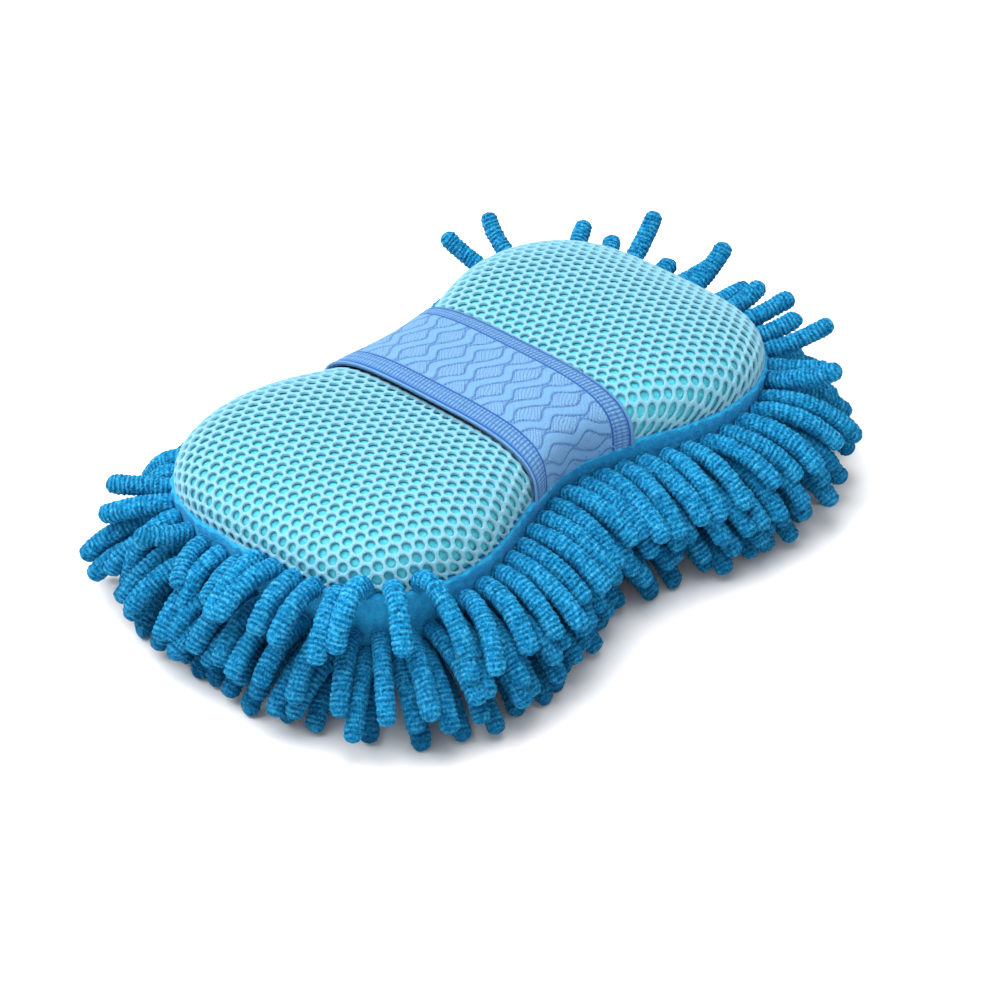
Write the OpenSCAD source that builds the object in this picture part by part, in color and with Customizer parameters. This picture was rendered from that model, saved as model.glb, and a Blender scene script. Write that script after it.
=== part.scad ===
// Chenille wash pad: a figure-eight foam core in a mesh and cloth cover, with an
// elastic hand strap over the waist and rows of chenille noodles on the sides and sole.
// Millimetres, +Z up, X along the pad. The origin is on the ground under its middle.

/* [Pad] */
// Length of the pad along the seam line's longest chord
pad_length = 176; // [145:1:215]
// Width of each lobe at the seam
pad_width = 107; // [88:1:130]
// Share of the width that the waist loses
waist_pinch = 0.34; // [0.24:0.01:0.36]
// Half length over which the waist narrows
waist_reach = 39; // [34:1:44]
// Squareness of the outline's ends, where 2 is an ellipse
end_squareness = 3.6; // [3:0.1:4.2]
// Height of the seam between mesh and cloth above the ground
seam_height = 38; // [34:1:46]
// Height of the lobes above the seam
crown_height = 17.5; // [14.5:0.5:22]
// Share of the crown that the waist loses
waist_sag = 0.25; // [0.1:0.01:0.3]
// Depth of the groove that leaves room for fingers under the strap
groove_depth = 5.4; // [5:0.1:6.4]
// Height of the cloth's underside above the ground
sole_height = 8.4; // [8.2:0.1:10]

/* [Cover] */
// Thickness of the face mesh
mesh_thickness = 0.8; // [0.5:0.1:1.2]
// Thickness of the knit layer behind the mesh
backing_thickness = 0.7; // [0.5:0.1:1.2]
// Thickness of the cloth that carries the noodles
cloth_thickness = 1.2; // [0.8:0.1:1.8]
// Width of the turned-in edge that the seam holds
seam_allowance = 4; // [3:0.5:6]
// Play between layers that lie on each other
layer_gap = 0.15; // [0.1:0.05:0.3]
// Distance between stitches along the seam
stitch_pitch = 5; // [4:0.5:8]
// Diameter of the sewing thread
thread_diameter = 0.5; // [0.3:0.1:0.8]

/* [Strap] */
// Width of the elastic strap, along X
strap_width = 40; // [30:1:48]
// Thickness of the elastic strap
strap_thickness = 1.6; // [1:0.1:2.4]
// Height of the strap's underside above the waist's own crown line
strap_lift = 2; // [1.6:0.1:4]
// Gap between the strap and the mesh at the sides
strap_side_gap = 0.4; // [0.3:0.1:1]
// Share of the half span where the sewn ends begin
strap_end_share = 0.95; // [0.92:0.01:0.97]
// Stitches across each sewn end
strap_stitches = 9; // [5:1:11]

/* [Noodles] */
// Diameter of a noodle
noodle_diameter = 4.8; // [4:0.1:5.8]
// Length of a noodle on the sides
noodle_length = 30; // [24:1:36]
// Gap between the roots of neighbouring noodles of a row
noodle_gap = 1.7; // [1.4:0.1:3.2]
// Distance from the seam down the cloth to the top row
first_row_drop = 5; // [4:0.5:7]
// Distance down the cloth between the roots of two rows
row_pitch = 6.9; // [6.5:0.1:8]
// Gap between the tips of two rows, one above the other
tip_gap = 0.9; // [0.8:0.1:1.7]
// Depth to which a sewn root sinks into the cloth
root_sink = 0.5; // [0.2:0.1:0.8]
// Length of a noodle under the sole
sole_noodle_length = 28.6; // [24:0.1:29]
// Gap between neighbouring noodles under the sole
sole_noodle_gap = 0.4; // [0.3:0.1:1]
// Depth that the ground presses out of a sole noodle
sole_flat = 0.4; // [0.2:0.1:0.8]

/* [Hidden] */

side_rows = 4;
sole_rows = 5;
// The row, and every how many of its noodles, that are kept apart as guard tufts
guard_row = 3;
guard_every = 6;
// Exponents of the crown's cross-section and of the rounded lower edge
crown_power = 3.6;
crown_root = 3;
edge_power = 8;
edge_root = 4;
// How soon an inner layer moves in towards the rim
inset_power = 8;
// Half length and sharpness of the groove under the strap
groove_reach = strap_width / 2 + 3.5;
groove_power = 10;
// Points around the outline, and rings between rim and pole
around = 72;
rings = 9;
// Fineness of the arc-length table, and of the round pieces
table_steps = 360;
$fn = 24;

cover_thickness = mesh_thickness + layer_gap + backing_thickness;
noodle_radius = noodle_diameter / 2;
noodle_pitch = noodle_diameter + noodle_gap;
tip_pitch = noodle_diameter + tip_gap;
sole_lane = noodle_diameter + sole_noodle_gap;
// Share of the outline that the sole noodles keep within, and of the width that their rows span
sole_share = 0.84;
sole_span = 0.64;
sole_row_pitch = (sole_span * pad_width - sole_noodle_length) / (sole_rows - 1);
// Lanes after which a row comes back, so that noodles one behind the other keep clear
sole_lanes = ceil((sole_noodle_length + sole_noodle_gap) / sole_row_pitch);
cloth_top = seam_height - layer_gap / 2;
strap_rise = crown_at(strap_width / 2, 0) + strap_lift;

mesh_colour = [0.60, 0.88, 0.94];
backing_colour = [0.20, 0.60, 0.68];
foam_colour = [0.36, 0.70, 0.80];
cloth_colour = [0.10, 0.48, 0.72];
noodle_colour = [0.05, 0.45, 0.75];
strap_colour = [0.48, 0.70, 0.94];
thread_colour = [0.40, 0.62, 0.88];

// ---- Shape of the pad ----

// Factor by which the waist narrows the outline at x
function pinch(x) = 1 - waist_pinch * exp(-pow(x / waist_reach, 2));

// Outline point in direction t, with the whole outline moved inwards by inset
function outline(t, inset = 0) = let (
        along = pow(abs(cos(t)) / (pad_length / 2 - inset), end_squareness),
        across = pow(abs(sin(t)) / (pad_width / 2 - inset), end_squareness),
        reach = pow(along + across, -1 / end_squareness),
        x = reach * cos(t)
    ) [x, reach * sin(t) * pinch(x)];

// Distance along the outline from direction 0 to direction t, as pairs of both
outline_lengths = [for (
        i = 0, run = 0;
        i <= table_steps;
        run = run + norm(outline(360 * (i + 1) / table_steps) - outline(360 * i / table_steps)),
        i = i + 1
    ) [run, 360 * i / table_steps]];
perimeter = outline_lengths[table_steps][0];

// Direction of the outline point at share u of the way round
function angle_at(u) = lookup(u * perimeter, outline_lengths);

// Directions of the points of a ring, evenly spaced along the outline
ring_angles = [for (i = [0 : around - 1]) angle_at(i / around)];

// Half width of the outline at x
function half_width(x) =
    pad_width / 2 * pinch(x) * pow(1 - pow(abs(x) / (pad_length / 2), end_squareness), 1 / end_squareness);

// Height of the crown's middle line above the seam at x, with a groove of that depth
function crown_at(x, groove) =
    crown_height * (1 - waist_sag * exp(-pow(x / waist_reach, 2)))
    - groove * exp(-pow(abs(x) / groove_reach, groove_power));

// Share of the crown's height at share r of the way from the middle to the rim
function crown_share(r) = pow(max(0, 1 - pow(r, crown_power)), 1 / crown_root);

// Share of the outline that is left at share d of the cloth's depth
function edge_share(d) = pow(max(0, 1 - pow(d, edge_power)), 1 / edge_root);

// ---- Rings of points and the solids between them ----

// One ring of the crown at share r, the rim moved in by inset and the top down by drop
function crown_ring(r, inset, drop, base) = [for (i = [0 : around - 1])
    let (p = outline(ring_angles[i], inset * pow(r, inset_power)) * r)
    [p.x, p.y, base + (crown_at(p.x, groove_depth) - drop) * crown_share(r)]];

// One ring of the lower part at share d of its depth
function bowl_ring(d, inset, depth, base) = [for (i = [0 : around - 1])
    let (p = outline(ring_angles[i], inset) * edge_share(d))
    [p.x, p.y, base - depth * d]];

// A flat ring
function flat_ring(inset, z) = [for (i = [0 : around - 1])
    let (p = outline(ring_angles[i], inset)) [p.x, p.y, z]];

// Shares from near the pole to the rim, closer together towards the rim
crown_steps = [for (i = [1 : rings]) sin(90 * i / rings)];
bowl_steps = [for (i = [1 : rings]) pow(1 - pow(1 - i / rings, 2), 0.5)];

function reversed(list) = [for (i = [len(list) - 1 : -1 : 0]) list[i]];

// Rings of the cloth's outside from the seam to the middle of the sole: share and depth
wall_rings = [for (d = concat([0], bowl_steps))
    d < 1 ? [edge_share(d), d * (cloth_top - sole_height)] : [0, cloth_top - sole_height]];

// Distance down the cloth to each of those rings, measured across the pad
wall_lengths = [for (
        i = 0, run = 0;
        i < len(wall_rings);
        run = run + wall_step(i),
        i = i + 1
    ) run];

// Distance down the cloth from ring i to the next
function wall_step(i) = i + 1 < len(wall_rings) ? norm([
        (wall_rings[i + 1][0] - wall_rings[i][0]) * pad_width / 2,
        wall_rings[i + 1][1] - wall_rings[i][1]
    ]) : 0;

// Share of the outline and height at distance s down the cloth
function wall_at(s) = [
    lookup(s, [for (i = [0 : rings]) [wall_lengths[i], wall_rings[i][0]]]),
    cloth_top - lookup(s, [for (i = [0 : rings]) [wall_lengths[i], wall_rings[i][1]]])];

// A closed solid through a list of rings, shut by a pole at each end. From the ring number
// back on, the stack runs back inside, and its diagonals turn to lie along those outside.
module ring_solid(stack, first_pole, last_pole, back = 1000) {
    n = around;
    last = len(stack) - 1;
    points = concat([first_pole], [for (ring = stack) each ring], [last_pole]);
    end = len(points) - 1;
    function at(k, i) = 1 + k * n + i % n;
    polyhedron(points, concat(
        [for (i = [0 : n - 1]) [0, at(0, i + 1), at(0, i)]],
        [for (k = [0 : last - 1], i = [0 : n - 1]) each k < back ? [
            [at(k, i), at(k, i + 1), at(k + 1, i + 1)],
            [at(k, i), at(k + 1, i + 1), at(k + 1, i)]
        ] : [
            [at(k, i), at(k, i + 1), at(k + 1, i)],
            [at(k, i + 1), at(k + 1, i + 1), at(k + 1, i)]
        ]],
        [for (i = [0 : n - 1]) [end, at(last, i), at(last, i + 1)]]));
}

// Direction in which the side noodles at direction t lean, so that none of them meet
function lean(t) = let (
        along = sign(cos(t)) * pow(abs(cos(t)) / pad_length, end_squareness - 1) / pad_length,
        across = sign(sin(t)) * pow(abs(sin(t)) / pad_width, end_squareness - 1) / pad_width
    ) [along, across] / norm([along, across]);

// A crowned layer with a turned-in edge, with its outside at drop below the pad's own
module crown_layer(drop, thickness) {
    base = seam_height + layer_gap / 2 + drop;
    inner = drop + thickness;
    ring_solid(
        concat(
            [for (r = crown_steps) crown_ring(r, drop, base - seam_height + drop, base)],
            [flat_ring(inner + seam_allowance, base)],
            [flat_ring(inner + seam_allowance, base + thickness)],
            [for (r = reversed(crown_steps))
                crown_ring(r, inner, base - seam_height + drop + 2 * thickness, base + thickness)]),
        [0, 0, seam_height + crown_at(0, groove_depth) - drop],
        [0, 0, seam_height + crown_at(0, groove_depth) - inner],
        back = rings + 1);
}

// ---- Core and cover ----

// Foam block that fills the cover, notched where the seam allowance turns in
module foam_core() {
    inset = cover_thickness + layer_gap;
    notch = cover_thickness + seam_allowance + 2 * layer_gap;
    notch_top = seam_height + cover_thickness + 2 * layer_gap;
    notch_base = seam_height - cloth_thickness - 2 * layer_gap;
    depth = notch_base - sole_height - cloth_thickness - layer_gap;
    color(foam_colour)
        ring_solid(
            concat(
                [for (r = crown_steps) crown_ring(r, inset, notch_top - seam_height + inset, notch_top)],
                [flat_ring(notch, notch_top), flat_ring(notch, notch_base)],
                [for (d = bowl_steps) if (d < 1) bowl_ring(d, inset, depth, notch_base)]),
            [0, 0, seam_height + crown_at(0, groove_depth) - inset],
            [0, 0, notch_base - depth]);
}

// Knit layer behind the mesh
module mesh_backing() {
    color(backing_colour) crown_layer(mesh_thickness + layer_gap, backing_thickness);
}

// Face mesh of the top side
module mesh_cover() {
    color(mesh_colour) crown_layer(0, mesh_thickness);
}

// Cloth bowl that carries the noodles on its sides and sole
module base_cloth() {
    base = cloth_top;
    depth = base - sole_height;
    inner_base = base - cloth_thickness;
    color(cloth_colour)
        ring_solid(
            concat(
                [for (d = reversed(bowl_steps)) if (d < 1) bowl_ring(d, 0, depth, base)],
                [bowl_ring(0, 0, depth, base)],
                [flat_ring(cloth_thickness + seam_allowance, base)],
                [flat_ring(cloth_thickness + seam_allowance, inner_base)],
                [bowl_ring(0, cloth_thickness, depth, inner_base)],
                [for (d = bowl_steps) if (d < 1)
                    bowl_ring(d, cloth_thickness, depth - 2 * cloth_thickness, inner_base)]),
            [0, 0, sole_height],
            [0, 0, sole_height + cloth_thickness]);
}

// Stitches through the turned-in edges, all round the seam
module seam_stitches() {
    count = round(perimeter / stitch_pitch);
    base = seam_height - cloth_thickness - layer_gap;
    height = cover_thickness + cloth_thickness + 2 * layer_gap;
    color(thread_colour)
        for (i = [0 : count - 1])
            translate(outline(angle_at(i / count), cover_thickness + seam_allowance / 2))
                translate([0, 0, base])
                    cylinder(d = thread_diameter, h = height);
}

// ---- Strap ----

// Point of the strap's cross-section at x, at share r of the half span, offset outwards
function strap_point(x, r, out) = [
    x,
    r * (half_width(x) + strap_side_gap + out),
    seam_height + (strap_rise + out) * crown_share(abs(r))];

// A strip of the strap from share from to share to of the half span
module strap_strip(from, to, steps) {
    stations = 12;
    xs = [for (k = [0 : stations]) -strap_width / 2 + strap_width * k / stations];
    shares = [for (j = [0 : steps]) from + (to - from) * j / steps];
    ring = 2 * (steps + 1);
    points = [for (x = xs) each concat(
        [for (r = shares) strap_point(x, r, 0)],
        [for (r = reversed(shares)) strap_point(x, r, strap_thickness)])];
    function at(k, i) = k * ring + i % ring;
    polyhedron(points, concat(
        [for (k = [0 : stations - 1], i = [0 : ring - 1]) each [
            [at(k, i), at(k + 1, i + 1), at(k, i + 1)],
            [at(k, i), at(k + 1, i), at(k + 1, i + 1)]]],
        [for (j = [0 : steps - 1]) each [
            [at(0, j), at(0, j + 1), at(0, ring - 2 - j)],
            [at(0, j), at(0, ring - 2 - j), at(0, ring - 1 - j)]]],
        [for (j = [0 : steps - 1]) each [
            [at(stations, j), at(stations, ring - 2 - j), at(stations, j + 1)],
            [at(stations, j), at(stations, ring - 1 - j), at(stations, ring - 2 - j)]]]));
}

// Free span of the strap, which lifts off the pad
module strap_band() {
    color(strap_colour) strap_strip(-strap_end_share + 0.006, strap_end_share - 0.006, 32);
}

// Sewn end of the strap, from the free span down to the seam
module strap_end() {
    strap_strip(strap_end_share + 0.006, 1, 6);
}

module strap_end_near() {
    color(strap_colour) mirror([0, 1, 0]) strap_end();
}

module strap_end_far() {
    color(strap_colour) strap_end();
}

// Stitches that hold one end of the strap to the side of the cover, half way into the mesh
module strap_stitches() {
    length = strap_thickness + strap_side_gap + mesh_thickness / 2 + 0.3;
    for (i = [0 : strap_stitches - 1]) {
        x = strap_width * ((i + 0.5) / strap_stitches - 0.5);
        translate([x, half_width(x) + strap_side_gap + strap_thickness + 0.3, seam_height + 2])
            rotate([90, 0, 0])
                cylinder(d = thread_diameter, h = length);
    }
}

module strap_stitches_near() {
    color(thread_colour) mirror([0, 1, 0]) strap_stitches();
}

module strap_stitches_far() {
    color(thread_colour) strap_stitches();
}

// ---- Noodles ----

// A noodle along +Z with a flat root and a round tip
module noodle(length) {
    rotate_extrude()
        union() {
            square([noodle_radius, length - noodle_radius]);
            intersection() {
                translate([0, length - noodle_radius]) circle(r = noodle_radius);
                translate([0, length - noodle_radius]) square(noodle_radius);
            }
        }
}

// Place of child: at point a, with +Z towards point b
module aimed(a, b) {
    step = b - a;
    translate(a)
        rotate([0, acos(step.z / norm(step)), atan2(step.y, step.x)])
            children();
}

// Distance down the cloth to the roots of row k
function root_run(k) = first_row_drop + (k - 1) * row_pitch;

// Height of the middle of the tips of row k
function tip_height(k) = noodle_radius + 0.2 + (side_rows - k) * tip_pitch;

// Whether noodle i of row k is one of the guard tufts
function is_guard(k, i) = k == guard_row && i % guard_every == 0;

// Middle of the root of row k at direction t, whose end sinks into the cloth by root_sink
function root_place(k, t) = let (
        upper = wall_at(root_run(k) - noodle_radius),
        lower = wall_at(root_run(k) + noodle_radius),
        middle = (upper + lower) / 2,
        rim = outline(t),
        turn = outline(t + 1) - outline(t - 1),
        down = [rim.x * (lower[0] - upper[0]), rim.y * (lower[0] - upper[0]), lower[1] - upper[1]],
        out = cross(down, [turn.x, turn.y, 0]) / norm(cross(down, [turn.x, turn.y, 0])),
        slope = asin((middle[1] - tip_height(k)) / (noodle_length - noodle_radius)),
        axis = [lean(t).x * cos(slope), lean(t).y * cos(slope), -sin(slope)],
        spread = noodle_radius * sqrt(max(0, 1 - pow(axis * out, 2)))
    ) [rim.x * middle[0], rim.y * middle[0], middle[1]] + out * (spread - root_sink);

// Noodles of row k round the side, either the guard tufts or all the others
module side_noodles(k, guards) {
    around_row = perimeter * wall_at(root_run(k))[0];
    count = guard_every * floor(around_row / noodle_pitch / guard_every);
    for (i = [0 : count - 1])
        if (is_guard(k, i) == guards) {
            t = angle_at((i + (k % 2) / 2) / count);
            root = root_place(k, t);
            drop = root.z - tip_height(k);
            reach = sqrt(pow(noodle_length - noodle_radius, 2) - drop * drop);
            tip = [root.x, root.y] + lean(t) * reach;
            aimed(root, [tip.x, tip.y, tip_height(k)])
                noodle(noodle_length);
        }
}

module noodle_row_1() {
    color(noodle_colour) side_noodles(1, false);
}

module noodle_row_2() {
    color(noodle_colour) side_noodles(2, false);
}

module noodle_row_3() {
    color(noodle_colour) side_noodles(3, false);
}

module noodle_row_4() {
    color(noodle_colour) side_noodles(4, false);
}

module guard_tufts() {
    color(noodle_colour) side_noodles(guard_row, true);
}

// Share of the outline at which the point x, y lies
function share_of(x, y) = let (
        along = abs(x) / (pad_length / 2),
        across = abs(y) / (pad_width / 2 * pinch(x))
    ) pow(pow(along, end_squareness) + pow(across, end_squareness), 1 / end_squareness);

// Height of the cloth's underside at share r
function underside(r) =
    seam_height - (seam_height - sole_height) * pow(1 - pow(r, edge_root), 1 / edge_power);

// Noodles of sole row k, which lie along +Y and rest on the ground
module sole_noodles(k) {
    start = (k - (sole_rows + 1) / 2) * sole_row_pitch - sole_noodle_length / 2;
    columns = floor(pad_length / 2 / sole_lane);
    intersection() {
        for (m = [-columns : columns]) {
            x = m * sole_lane;
            side = abs(x) + noodle_radius;
            spread = max(share_of(side, start), share_of(side, start + sole_noodle_length));
            if (spread < sole_share && (m + k + sole_lanes * columns) % sole_lanes == 0) {
                top = underside(share_of(x, start)) + root_sink;
                slope = asin((top - 2 * noodle_radius + sole_flat) / (sole_noodle_length - noodle_radius));
                translate([x, start, top - noodle_radius * cos(slope)])
                    rotate([-90 - slope, 0, 0])
                        noodle(sole_noodle_length);
            }
        }
        translate([-pad_length, -pad_width, 0])
            cube([2 * pad_length, 2 * pad_width, seam_height]);
    }
}

module sole_row_1() {
    color(noodle_colour) sole_noodles(1);
}

module sole_row_2() {
    color(noodle_colour) sole_noodles(2);
}

module sole_row_3() {
    color(noodle_colour) sole_noodles(3);
}

module sole_row_4() {
    color(noodle_colour) sole_noodles(4);
}

module sole_row_5() {
    color(noodle_colour) sole_noodles(5);
}

foam_core();
mesh_backing();
mesh_cover();
base_cloth();
seam_stitches();
strap_band();
strap_end_near();
strap_end_far();
strap_stitches_near();
strap_stitches_far();
noodle_row_1();
noodle_row_2();
noodle_row_3();
noodle_row_4();
guard_tufts();
sole_row_1();
sole_row_2();
sole_row_3();
sole_row_4();
sole_row_5();
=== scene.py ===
"""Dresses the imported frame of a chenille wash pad: net top, elastic hand strap, cloth and noodles.

All shapes are worked out in millimetres in the frame's own axes, +X along the pad and +Z up, and are
turned into metres when a mesh is finished. The pad's outline and crown follow the frame's own formula,
but the groove under the strap is narrower here, so that the crown stays full beside the strap.
"""

from __future__ import annotations

import itertools
import logging
import math
import random
from dataclasses import dataclass, field
from enum import Enum
from typing import Callable, Sequence

import bmesh
import bpy
import numpy as np
from mathutils import Matrix, Vector, noise

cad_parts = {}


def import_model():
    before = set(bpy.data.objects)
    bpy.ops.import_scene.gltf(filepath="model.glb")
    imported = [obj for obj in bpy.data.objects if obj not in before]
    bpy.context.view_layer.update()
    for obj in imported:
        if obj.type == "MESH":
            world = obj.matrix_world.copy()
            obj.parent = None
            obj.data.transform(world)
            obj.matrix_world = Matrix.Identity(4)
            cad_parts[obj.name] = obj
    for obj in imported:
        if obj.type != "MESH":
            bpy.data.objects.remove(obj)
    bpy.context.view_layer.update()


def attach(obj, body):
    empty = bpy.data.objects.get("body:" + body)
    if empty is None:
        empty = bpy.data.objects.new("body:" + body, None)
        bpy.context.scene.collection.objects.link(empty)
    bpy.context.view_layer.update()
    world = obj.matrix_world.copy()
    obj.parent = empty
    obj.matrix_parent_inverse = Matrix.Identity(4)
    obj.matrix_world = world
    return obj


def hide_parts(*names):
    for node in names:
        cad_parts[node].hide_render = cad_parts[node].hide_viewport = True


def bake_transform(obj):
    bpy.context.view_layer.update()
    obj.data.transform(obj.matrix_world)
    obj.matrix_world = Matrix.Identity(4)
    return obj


LOG = logging.getLogger("wash_pad")
MM = 0.001
UP = Vector((0, 0, 1))
FLOOR_GAP = 0.02
SOLE_NODES = tuple(f"sole_row_{k}" for k in range(1, 6))
# Where noodles change their stance: FAR_END is in millimetres along the pad, the rest are headings in
# degrees, 0 along +X and 90 along +Y.
FAR_END = 62.0
FAR_HEADING = 30.0
FAR_HEADINGS = (-62.0, 128.0)
BACK_HEADINGS = (35.0, 125.0)
NEAR_END_HEADING = 143.0
CORNER_HEADING = -130.0
CORNER_WIDTH = 17.0
Colour = tuple[float, float, float]
Place = Callable[[float, float], Sequence[float]]


def tint(red: int, green: int, blue: int) -> Colour:
    """Turn a display colour into the linear one that shaders take.

    Args:
        red: Red from 0 to 255.
        green: Green from 0 to 255.
        blue: Blue from 0 to 255.

    Returns:
        The linear colour.
    """
    parts = (c / 255 for c in (red, green, blue))
    return tuple(c / 12.92 if c < 0.04045 else ((c + 0.055) / 1.055) ** 2.4 for c in parts)


# ---- Shape of the pad -------------------------------------------------------------------------


@dataclass(frozen=True)
class PadShape:
    """The pad's outline and crown, in millimetres."""

    length: float = 176.0
    width: float = 107.0
    pinch: float = 0.34
    pinch_reach: float = 39.0
    squareness: float = 3.6
    seam: float = 38.0
    crown: float = 17.5
    sag: float = 0.25
    crown_power: float = 3.6
    crown_root: float = 3.0
    side_power: float = 8.0
    side_root: float = 4.0
    sole: float = 8.4
    groove: float = 5.4
    groove_reach: float = 17.0
    groove_power: float = 8.0
    directions: int = 360
    steps: int = 64

    def narrowing(self, x: np.ndarray) -> np.ndarray:
        """Return the factor by which the waist narrows the outline at x."""
        return 1 - self.pinch * np.exp(-((x / self.pinch_reach) ** 2))

    def outline(self, angle: np.ndarray, inset: float = 0.0) -> np.ndarray:
        """Place points on the outline.

        Args:
            angle: Directions in radians.
            inset: Distance that the outline moves inwards.

        Returns:
            One row of x and y for each direction.
        """
        along = (np.abs(np.cos(angle)) / (self.length / 2 - inset)) ** self.squareness
        across = (np.abs(np.sin(angle)) / (self.width / 2 - inset)) ** self.squareness
        reach = (along + across) ** (-1 / self.squareness)
        x = reach * np.cos(angle)
        return np.stack([x, reach * np.sin(angle) * self.narrowing(x)], axis=-1)

    def half_width(self, x: np.ndarray) -> np.ndarray:
        """Return half the pad's width at x."""
        ends = (1 - (np.abs(x) / (self.length / 2)) ** self.squareness) ** (1 / self.squareness)
        return self.width / 2 * self.narrowing(x) * ends

    def crown_at(self, x: np.ndarray, groove: float) -> np.ndarray:
        """Return the height of the crown's middle line above the seam at x."""
        rise = self.crown * (1 - self.sag * np.exp(-((x / self.pinch_reach) ** 2)))
        return rise - groove * np.exp(-((np.abs(x) / self.groove_reach) ** self.groove_power))

    def crown_share(self, share: np.ndarray) -> np.ndarray:
        """Return the part of the crown's height left at that share of the way out."""
        return np.maximum(0, 1 - share**self.crown_power) ** (1 / self.crown_root)

    def side_share(self, depth: float) -> float:
        """Return the part of the outline's reach left at a share of the depth below the seam."""
        return max(0.0, 1 - depth**self.side_power) ** (1 / self.side_root)

    def top(self, angle: np.ndarray, share: np.ndarray, drop: float = 0.0) -> np.ndarray:
        """Place points on the crown.

        Args:
            angle: Directions in radians.
            share: Shares of the way from the middle to the seam.
            drop: Distance that the surface moves inwards.

        Returns:
            One row of x, y and z for each point.
        """
        plan = self.outline(angle, drop) * share[..., None]
        rise = (self.crown_at(plan[..., 0], self.groove) - drop) * self.crown_share(share)
        return np.concatenate([plan, (self.seam + rise)[..., None]], axis=-1)


class Drape:
    """Lays a flat cloth over the crown without stretching it from the middle outwards."""

    tuck_slope = 0.35
    tuck_depth = 1.4
    normal_step = 0.15

    def __init__(self, shape: PadShape) -> None:
        """Work out how far along the cloth each point of the crown is.

        Args:
            shape: The pad to lay the cloth over.
        """
        self.shape = shape
        self.angles = np.linspace(0, 2 * math.pi, shape.directions + 1)
        self.shares = np.sin(np.linspace(0, math.pi / 2, shape.steps))
        rays = shape.top(self.angles[:, None], np.broadcast_to(self.shares, (len(self.angles), shape.steps)))
        runs = np.linalg.norm(np.diff(rays, axis=1), axis=2)
        self.arcs = np.concatenate([np.zeros((len(runs), 1)), np.cumsum(runs, axis=1)], axis=1)
        rim = shape.outline(self.angles)
        self.bearings = np.unwrap(np.arctan2(rim[:, 1], rim[:, 0]))

    def reach(self, flat: np.ndarray) -> np.ndarray:
        """Return the cloth's length from the middle to the seam, in the direction of each flat point."""
        bearing = np.mod(np.arctan2(flat[:, 1], flat[:, 0]), 2 * math.pi)
        return np.interp(bearing, self.bearings, self.arcs[:, -1])

    def lay(self, flat: np.ndarray) -> np.ndarray:
        """Move flat points onto the crown, and past the seam down behind the cloth.

        Args:
            flat: One row of x and y for each point.

        Returns:
            One row of x, y and z for each point.
        """
        bearing = np.mod(np.arctan2(flat[:, 1], flat[:, 0]), 2 * math.pi)
        place = np.interp(bearing, self.bearings, np.arange(len(self.bearings)))
        low = np.minimum(place.astype(int), len(self.bearings) - 2)
        mix = place - low
        distance = np.linalg.norm(flat, axis=1)
        gap = self.arcs.max() * 2
        ladder = (self.arcs + gap * np.arange(len(self.arcs))[:, None]).ravel()
        shares = np.tile(self.shares, len(self.arcs))
        found = []
        for row in (low, low + 1):
            capped = np.minimum(distance, self.arcs[row, -1] * (1 - 1e-9))
            found.append(np.interp(capped + gap * row, ladder, shares))
        share = found[0] * (1 - mix) + found[1] * mix
        angle = self.angles[low] * (1 - mix) + self.angles[low + 1] * mix
        laid = self.shape.top(angle, share)
        past = np.maximum(0, distance - self.reach(flat))
        rim = np.linalg.norm(laid[:, :2], axis=1)
        laid[:, :2] *= (1 - np.minimum(past * self.tuck_slope, self.tuck_depth) / rim)[:, None]
        laid[:, 2] -= past
        return laid

    def cover(self, points: np.ndarray) -> np.ndarray:
        """Move points of a flat cloth onto the crown, their own height along its normal.

        Args:
            points: One row of x, y and height for each point.

        Returns:
            One row of x, y and z for each point.
        """
        here = self.lay(points[:, :2])
        right = self.lay(points[:, :2] + (self.normal_step, 0)) - here
        ahead = self.lay(points[:, :2] + (0, self.normal_step)) - here
        normal = np.cross(right, ahead)
        normal /= np.maximum(np.linalg.norm(normal, axis=1), 1e-12)[:, None]
        return here + normal * points[:, 2:3]


# ---- Mesh helpers -----------------------------------------------------------------------------


def finished(bm: bmesh.types.BMesh, name: str, smooth: bool = True) -> bpy.types.Object:
    """Turn a bmesh in millimetres into an object in metres.

    Args:
        bm: The mesh, which is freed.
        name: The object's name.
        smooth: Whether its faces are shaded smooth.

    Returns:
        The linked object.
    """
    bmesh.ops.scale(bm, vec=(MM, MM, MM), verts=bm.verts)
    for face in bm.faces:
        face.smooth = smooth
    return linked(freed(bm, name))


def freed(bm: bmesh.types.BMesh, name: str) -> bpy.types.Mesh:
    """Store a bmesh as a mesh of that name, and free it."""
    mesh = bpy.data.meshes.new(name)
    bm.to_mesh(mesh)
    bm.free()
    return mesh


def woven_grid(columns: int, rows: int, place: Place, closed: bool = True) -> bmesh.types.BMesh:
    """Shape a grid by a rule, with the grid's own place kept as its UV map.

    Args:
        columns: Faces across.
        rows: Faces along.
        place: Gives the point for a share across and a share along.
        closed: Whether points that meet, at a seam or a pole, are joined.

    Returns:
        The shaped mesh.
    """
    bm = bmesh.new()
    bmesh.ops.create_grid(bm, x_segments=columns, y_segments=rows, size=0.5)
    uv = bm.loops.layers.uv.new("UVMap")
    for face in bm.faces:
        for loop in face.loops:
            loop[uv].uv = (loop.vert.co.x + 0.5, loop.vert.co.y + 0.5)
    for vert in bm.verts:
        vert.co = Vector(place(vert.co.x + 0.5, vert.co.y + 0.5))
    if closed:
        bmesh.ops.remove_doubles(bm, verts=bm.verts, dist=1e-4)
        bmesh.ops.recalc_face_normals(bm, faces=bm.faces)
    return bm


def linked(mesh: bpy.types.Mesh) -> bpy.types.Object:
    """Make an object of a mesh, with the mesh's name, and link it to the scene."""
    piece = bpy.data.objects.new(mesh.name, mesh)
    bpy.context.scene.collection.objects.link(piece)
    return piece


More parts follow.
